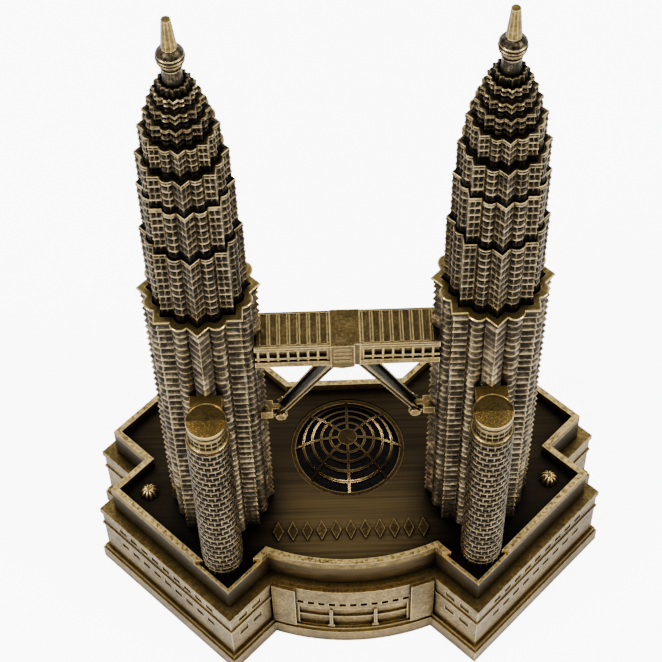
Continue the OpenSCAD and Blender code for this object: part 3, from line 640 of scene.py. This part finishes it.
# the star collar: dark underside, bright outer edge, flat top, then down into the moat
def makeCollar(side):
    radius = halfWidth(side + "_collar")
    foot, top = heightsOf(side + "_collar")
    inner = towers["tierSizes"][0] * radius + 0.5
    bottom = top - towers["moat"]
    # height, radius, rub
    profile = ((foot, radius - 0.6, 0.02), (foot + 0.6, radius - 0.5, 0.05), (foot + 1.0, radius - 0.22, 0.2),
               (foot + 1.3, radius - 0.03, 0.6), (foot + 1.45, radius + 0.03, 1.0),
               (top - 0.12, radius + 0.03, 1.0), (top, radius - 0.08, 0.95), (top, radius - 0.4, 0.5),
               (top, inner + 0.2, 0.5), (top, inner + 0.06, 0.7), (top - 0.06, inner, 0.5),
               (bottom, inner - 0.02, 0.0), (bottom, 2.0, 0.0))
    rows = np.concatenate([plainRow(*row) for row in profile])
    stackSurface(side + "StarCollar", middleOf(side + "_collar"), starColumns(), rows, starOutline,
                 collarBrass, (side + "_collar",), 0.15)


balls = {"rows": 61, "columns": 72, "ringStep": 0.30, "groove": 0.09, "smoothAbove": 0.40}


# radius at height t is sqrt(r^2 - t^2), less a cosine groove between rings, smooth over the top
def makeBall(side):
    low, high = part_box(side + "_ball")
    middle = (low + high) / 2
    half, radius = (high.z - low.z) / 2 / mm, halfWidth(side + "_ball")
    t = np.linspace(-half, half, balls["rows"])
    ridge = 0.5 + 0.5 * np.cos(2 * math.pi * t / (balls["ringStep"] * radius))
    ridge = np.where(t > balls["smoothAbove"] * radius, 0.45, ridge)
    reach = np.sqrt(radius ** 2 - t ** 2) * (1 - balls["groove"] * (1 - ridge))
    rub = 0.02 + 0.85 * ridge ** 2
    zero, one = np.zeros_like(t), np.ones_like(t)
    rows = np.column_stack([middle.z / mm + t, reach, zero, zero, rub, rub, one, zero])
    stackSurface(side + "RingedBall", middle, plainColumns(balls["columns"]), rows, roundOutline,
                 finialBronze, (side + "_ball",), 0.2)


annexes = {
    "windows": 19, "pitch": 2.02, "footHeight": 3.0,
    # height share, window, mullion (mm proud), rub of window, rub of mullion
    "ring": ((0.0, -0.26, -0.03, 0.0, 0.40), (0.62, -0.26, -0.03, 0.0, 0.45), (0.64, 0.02, 0.02, 0.35, 0.45),
             (0.74, 0.05, 0.05, 0.95, 0.95), (0.81, 0.0, 0.0, 0.35, 0.35), (0.97, -0.14, -0.04, 0.08, 0.25)),
    "foot": ((0.0, -0.35, -0.10, 0.05, 0.4), (0.8, -0.35, -0.10, 0.08, 0.4), (0.9, -0.1, -0.05, 0.5, 0.5)),
}


# rings of windows whose mullions stand half a window further round on every other ring
def makeAnnexe(side):
    node = side + "_annexe"
    radius = halfWidth(node)
    top, foot = heightsOf(node)[1], deckTop / mm
    waist = foot + annexes["footHeight"]
    rows = np.concatenate([
        floorRows(foot, waist, radius, annexes["footHeight"], annexes["foot"]),
        floorRows(waist, top, radius, annexes["pitch"], annexes["ring"], stagger=True),
        plainRow(top, radius, 0.9)])
    stackSurface(side + "AnnexeRings", middleOf(node), roundColumns(annexes["windows"]), rows, roundOutline,
                 towerBronze, (node,))


deckDomes = {
    "ribs": 10, "ribSteps": 12, "rows": 16, "groove": 0.24,
    "button": 0.24,         # share of the dome's radius
    "buttonHeight": 0.15,   # mm
}


# a half sphere whose radius dips by the groove between ribs: reach = cos(t) * (1 - groove * (1 - |cos|)),
# height = sin(t), with a small round button standing on the top
def makeDeckDome(side):
    node = side + "_deck_dome"
    radius = halfWidth(node)
    foot, top = deckTop / mm, heightsOf(node)[1]
    steps = deckDomes["ribs"] * deckDomes["ribSteps"]
    angle = 2 * math.pi * np.arange(steps) / steps
    rib = np.abs(np.cos(angle * deckDomes["ribs"] / 2)) ** 0.7
    turn = np.linspace(-0.10, math.acos(deckDomes["button"]), deckDomes["rows"])[:, None]
    groove = deckDomes["groove"] * (1 - rib)[None, :] * np.cos(turn) ** 0.3
    reach = np.cos(turn) * (1 - groove) * radius
    height = foot + np.sin(turn) * radius * (1 - 0.3 * groove)
    button = deckDomes["button"] * radius
    level = top - deckDomes["buttonHeight"]
    for out, rise in ((1.0, 0.0), (1.0, 0.10), (0.75, deckDomes["buttonHeight"])):
        reach = np.vstack([reach, np.full((1, len(angle)), button * out)])
        height = np.vstack([height, np.full((1, len(angle)), level + rise)])
    turnedSurface(side + "RibbedDome", middleOf(node), angle, reach, height, None, capBrass, (node,),
                  40.0)


caps = {
    "windows": 19,
    "edge": 0.1,            # mm that the finer rim stays inside the casting's
    "discSteps": 9,
    "step": 0.15,           # mm that the rear half of the disc stands lower
    "fall": 0.30,           # mm that it falls further towards each side
    # height share, radius (mm in from the disc), window, mullion, rub of window, rub of mullion
    "profile": ((0.0, -0.10, 0, 0, 0.2, 0.2), (0.03, -0.12, 0, 0, 0.6, 0.6), (0.07, 0.05, 0, 0, 0.3, 0.3),
                (0.10, 0.33, 0, 0, 0.05, 0.05), (0.12, 0.33, -0.18, 0.06, 0.0, 0.30),
                (0.27, 0.33, -0.18, 0.06, 0.0, 0.30), (0.29, 0.30, 0.04, 0.04, 0.55, 0.55),
                (0.33, 0.30, 0.04, 0.04, 0.2, 0.2), (0.35, 0.33, -0.18, 0.06, 0.0, 0.30),
                (0.50, 0.33, -0.18, 0.06, 0.0, 0.30), (0.52, 0.28, 0.04, 0.04, 0.35, 0.35),
                (0.60, 0.25, 0, 0, 0.1, 0.1), (0.62, 0.08, 0, 0, 0.3, 0.3), (0.66, 0.05, 0, 0, 0.7, 0.7),
                (0.71, 0.08, 0, 0, 0.2, 0.2), (0.73, 0.30, 0, 0, 0.0, 0.0), (0.80, 0.30, 0, 0, 0.0, 0.0),
                (0.82, 0.06, 0, 0, 0.3, 0.3), (0.88, 0.0, 0, 0, 0.5, 0.5), (0.97, 0.0, 0, 0, 0.8, 0.8),
                (1.0, 0.06, 0, 0, 1.0, 1.0)),
}


# the round cap: a ringed neck under a disc whose rear half drops a step and falls to both sides,
# height = top - (step + fall * |x| / r) behind the middle; that rear half also gets less rub, as painted
# shade
def makeCap(side):
    node = side + "_annexe_cap"
    radius = halfWidth(node) - caps["edge"]
    foot, top = heightsOf(node)
    angle, first, _ = roundColumns(caps["windows"])
    profile = np.array(caps["profile"])
    share, inward, window, post, rubWindow, rubPost = (profile[:, i, None] for i in range(6))
    on = first[None, :]
    reach = radius - inward + window + (post - window) * on
    height = foot + share * (top - foot) + 0 * on
    relief = rubWindow + (rubPost - rubWindow) * on
    disc = np.linspace(0.955, 0.02, caps["discSteps"])[:, None] * radius + 0 * on
    x, y = disc * np.cos(angle), disc * np.sin(angle)
    drop = np.clip(y / 0.12, 0, 1) * (caps["step"] + caps["fall"] * np.abs(x) / radius)
    # the disc's rear half is less rubbed than the front: painted shade standing in for its darker reflection
    rub = np.where(y > 0, 0.34, 0.95) + 0 * x
    turnedSurface(side + "RingedCap", middleOf(node), angle, np.vstack([reach, disc]),
                  np.vstack([height, top - drop]), np.vstack([relief, rub]), collarBrass, (node,),
                  25.0)


for side in ("left", "right"):
    makeTower(side)
    makeCollar(side)
    makeBall(side)
    makeAnnexe(side)
    makeCap(side)
    makeDeckDome(side)
print("towers, annexes and domes ready")


studio = {
    "floorReach": 3.0,
    "floorColour": (0.60, 0.60, 0.60, 1),
    "floorGlow": 8.0,       # a light table: lifts the floor to white without lighting the object
    "worldColour": (0.80, 0.82, 0.86, 1),
    "worldStrength": 0.6,
    "lampColour": (1.0, 0.995, 0.98),
    "lampsAim": (0, 0, 0.06),
    # name, place, width and height, power
    "lamps": (("leftSoft", (-0.75, -0.45, 0.60), (0.4, 0.5), 24.0),
              ("rightSoft", (0.80, -0.40, 0.55), (0.4, 0.5), 21.0),
              ("topFront", (0.0, -0.75, 0.75), (0.8, 0.3), 10.0),
              ("overhead", (0.0, 0.45, 0.80), (0.9, 0.5), 1.2),
              ("backLeft", (-0.60, 0.75, 0.35), (0.5, 0.2), 6.0),
              ("backRight", (0.65, 0.70, 0.35), (0.5, 0.2), 6.0)),
    "cameraPlace": (-0.00421, -0.2291, 0.4091),
    "lensMm": 106.78,
    "yawDeg": 0.297,
    "pitchDeg": 55.276,
    "rollDeg": -1.672,
}


# camera axes: forward from yaw and pitch, then right and up rolled round it
def makeCamera():
    yaw, pitch, roll = (math.radians(studio[key]) for key in ("yawDeg", "pitchDeg", "rollDeg"))
    forward = Vector((math.sin(yaw) * math.cos(pitch), math.cos(yaw) * math.cos(pitch), -math.sin(pitch)))
    level = Vector((math.cos(yaw), -math.sin(yaw), 0))
    upright = level.cross(forward)
    right = math.cos(roll) * level + math.sin(roll) * upright
    up = -math.sin(roll) * level + math.cos(roll) * upright
    data = bpy.data.cameras.new("camera")
    data.lens, data.sensor_width = studio["lensMm"], 36.0
    data.clip_start, data.clip_end = 0.02, 20.0
    camera = bpy.data.objects.new("camera", data)
    bpy.context.scene.collection.objects.link(camera)
    turn = Matrix((right, up, -forward)).transposed().to_4x4()
    camera.matrix_world = Matrix.Translation(studio["cameraPlace"]) @ turn
    bpy.context.scene.camera = camera


# four corners and one face, at table level
def makeFloor():
    corners = np.array([[-1, -1], [1, -1], [1, 1], [-1, 1]], float) * studio["floorReach"]
    points = np.column_stack([corners, np.full(4, tableLevel)])
    mesh = bpy.data.meshes.new("floor")
    mesh.from_pydata(points.tolist(), [], [(0, 1, 2, 3)])
    floor = bpy.data.objects.new("floor", mesh)
    bpy.context.scene.collection.objects.link(floor)
    material, tree, shader = newMaterial("paleFloor", 0.0)
    shader.inputs["Base Color"].default_value = studio["floorColour"]
    shader.inputs["Roughness"].default_value = 0.6
    shader.inputs["Emission Color"].default_value = (1, 1, 1, 1)
    seen = addNode(tree, "ShaderNodeLightPath").outputs["Is Camera Ray"]
    glow = mathNode(tree, "MULTIPLY", seen, studio["floorGlow"])
    tree.links.new(glow, shader.inputs["Emission Strength"])
    floor.data.materials.append(material)


def areaLight(name, place, size, power):
    data = bpy.data.lights.new(name, "AREA")
    data.shape, data.size, data.size_y = "RECTANGLE", size[0], size[1]
    data.energy, data.color = power, studio["lampColour"]
    lamp = bpy.data.objects.new(name, data)
    bpy.context.scene.collection.objects.link(lamp)
    lamp.location = place
    towards = Vector(studio["lampsAim"]) - Vector(place)
    lamp.rotation_euler = towards.to_track_quat("-Z", "Y").to_euler()


def makeStudio():
    world = bpy.data.worlds.new("studio")
    bpy.context.scene.world = world
    world.use_nodes = True
    back = world.node_tree.nodes["Background"]
    back.inputs["Color"].default_value = studio["worldColour"]
    back.inputs["Strength"].default_value = studio["worldStrength"]
    for lamp in studio["lamps"]:
        areaLight(*lamp)


makeCamera()
makeFloor()
makeStudio()
print("studio ready")
